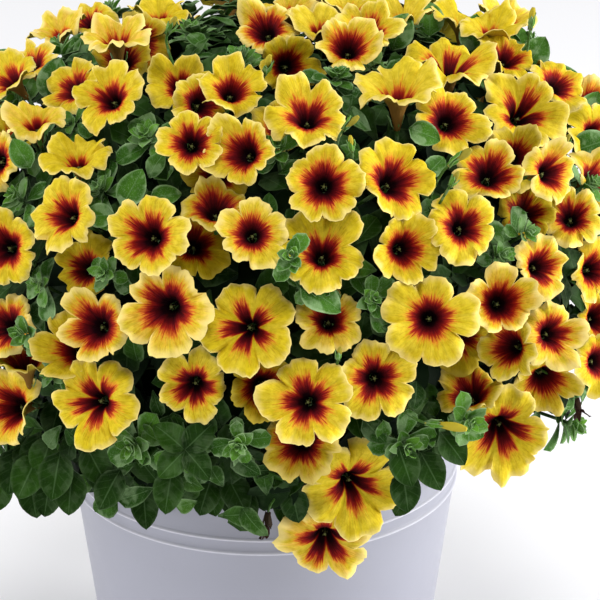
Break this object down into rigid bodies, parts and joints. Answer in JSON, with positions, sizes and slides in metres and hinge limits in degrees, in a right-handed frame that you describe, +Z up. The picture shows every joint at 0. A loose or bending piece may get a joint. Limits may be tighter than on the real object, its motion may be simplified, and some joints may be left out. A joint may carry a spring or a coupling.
{
  "type": "potted petunia",
  "caption": "Round white plastic pot of soil with a dense mounded petunia: leafy green stems and yellow blooms with dark red throats, trailing a little over the rim.",
  "frame": {"origin": "centre of the pot's flat underside, on the ground", "axes": "+Z up along the pot's axis; the side seen in the picture faces -Y, with +X to its right"},
  "size_m": [0.4448, 0.4443, 0.4774],
  "materials": {
    "white_plastic": "satin",
    "potting_soil": "matte",
    "leaves": "matte",
    "petals": "matte"
  },
  "bodies": {
    "root": {"bloom_spray_01": "petals", "bloom_spray_02": "petals", "bloom_spray_03": "petals", "bloom_spray_04": "petals", "bloom_spray_05": "petals", "bloom_spray_06": "petals", "bloom_spray_07": "petals", "bloom_spray_08": "petals", "bloom_spray_09": "petals", "bloom_spray_10": "petals", "bloom_spray_11": "petals", "bloom_spray_12": "petals", "bloom_spray_13": "petals", "bloom_spray_14": "petals", "bloom_spray_15": "petals", "bloom_spray_16": "petals", "bloom_spray_17": "petals", "bloom_spray_18": "petals", "bloom_spray_19": "petals", "bloom_spray_20": "petals", "bloom_spray_21": "petals", "bloom_spray_22": "petals", "bloom_spray_23": "petals", "bloom_spray_24": "petals", "bloom_spray_25": "petals", "bloom_spray_26": "petals", "bloom_spray_27": "petals", "bloom_spray_28": "petals", "bloom_spray_29": "petals", "bloom_spray_30": "petals", "bloom_spray_31": "petals", "bloom_spray_32": "petals", "bloom_spray_33": "petals", "bloom_spray_34": "petals", "bloom_spray_35": "petals", "bloom_spray_36": "petals", "bloom_spray_37": "petals", "bloom_spray_38": "petals", "bloom_spray_39": "petals", "bloom_spray_40": "petals", "bloom_spray_41": "petals", "bloom_spray_42": "petals", "bloom_spray_43": "petals", "bloom_spray_44": "petals", "bloom_spray_45": "petals", "bloom_spray_46": "petals", "leafy_stem_01": "leaves", "leafy_stem_02": "leaves", "leafy_stem_03": "leaves", "leafy_stem_04": "leaves", "leafy_stem_05": "leaves", "leafy_stem_06": "leaves", "leafy_stem_07": "leaves", "leafy_stem_08": "leaves", "leafy_stem_09": "leaves", "leafy_stem_10": "leaves", "leafy_stem_11": "leaves", "leafy_stem_12": "leaves", "pot": "white_plastic", "soil": "potting_soil"}
  },
  "joints": []
}
